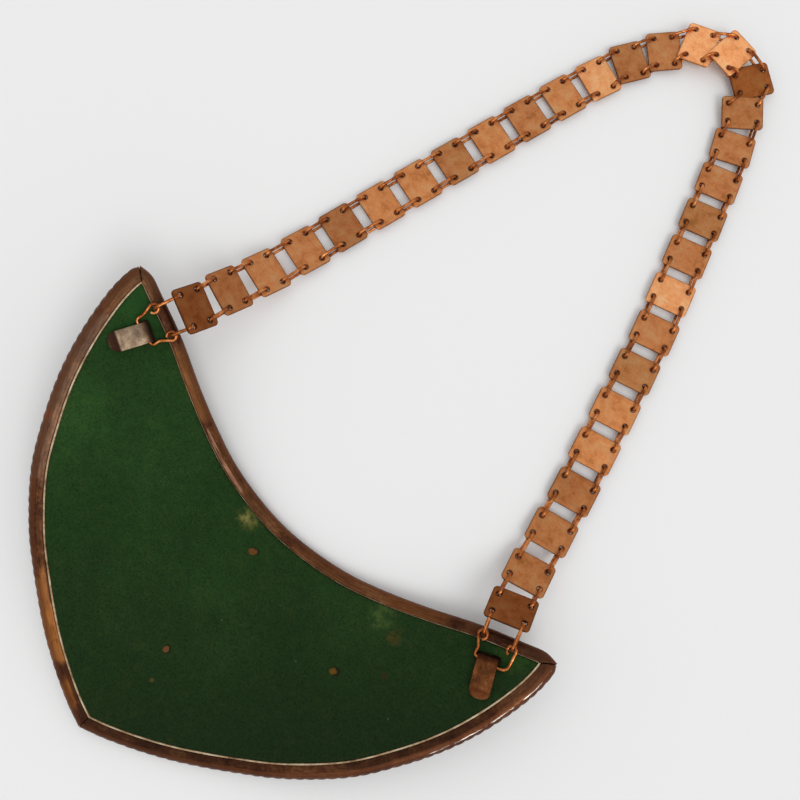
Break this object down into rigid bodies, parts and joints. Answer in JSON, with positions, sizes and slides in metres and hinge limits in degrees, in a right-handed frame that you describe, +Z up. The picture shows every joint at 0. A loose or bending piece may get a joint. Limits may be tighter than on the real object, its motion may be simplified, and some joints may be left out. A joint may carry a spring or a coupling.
{
  "type": "neck gorget with plate chain",
  "caption": "Crescent copper neck gorget with a pointed lower edge, lying face down to show its green felt lining, with two back hooks and a long chain of flat plates joined by wire rings.",
  "frame": {"origin": "bottom centre of the box round the gorget and its chain, on the surface they lie on", "axes": "+Z up from the surface; +Y from the gorget's tip past its neck edge to the far bend of the chain; +X to the gorget's right corner as its back shows it"},
  "size_m": [0.2168, 0.3944, 0.0331],
  "materials": {
    "dark_copper": "tarnished dark copper, satin",
    "worn_copper": "worn copper with brown patina, satin",
    "green_felt": "dense green felt, matt",
    "cream_edging": "cream edging, matt"
  },
  "bodies": {
    "root": {"bail_left": "dark_copper", "bail_right": "dark_copper", "chain_link_01": "worn_copper", "chain_link_02": "worn_copper", "chain_link_03": "worn_copper", "chain_link_04": "worn_copper", "chain_link_05": "worn_copper", "chain_link_06": "worn_copper", "chain_link_07": "worn_copper", "chain_link_08": "worn_copper", "chain_link_09": "worn_copper", "chain_link_10": "worn_copper", "chain_link_11": "worn_copper", "chain_link_12": "worn_copper", "chain_link_13": "worn_copper", "chain_link_14": "worn_copper", "chain_link_15": "worn_copper", "chain_link_16": "worn_copper", "chain_link_17": "worn_copper", "chain_link_18": "worn_copper", "chain_link_19": "worn_copper", "chain_link_20": "worn_copper", "chain_link_21": "worn_copper", "chain_link_22": "worn_copper", "chain_link_23": "worn_copper", "chain_link_24": "worn_copper", "chain_link_25": "worn_copper", "chain_link_26": "worn_copper", "chain_link_27": "worn_copper", "chain_link_28": "worn_copper", "chain_link_29": "worn_copper", "chain_link_30": "worn_copper", "chain_link_31": "worn_copper", "gorget_plate": "dark_copper", "hook_left": "dark_copper", "hook_right": "dark_copper", "lining_edging": "cream_edging", "lining_felt": "green_felt"}
  },
  "joints": []
}
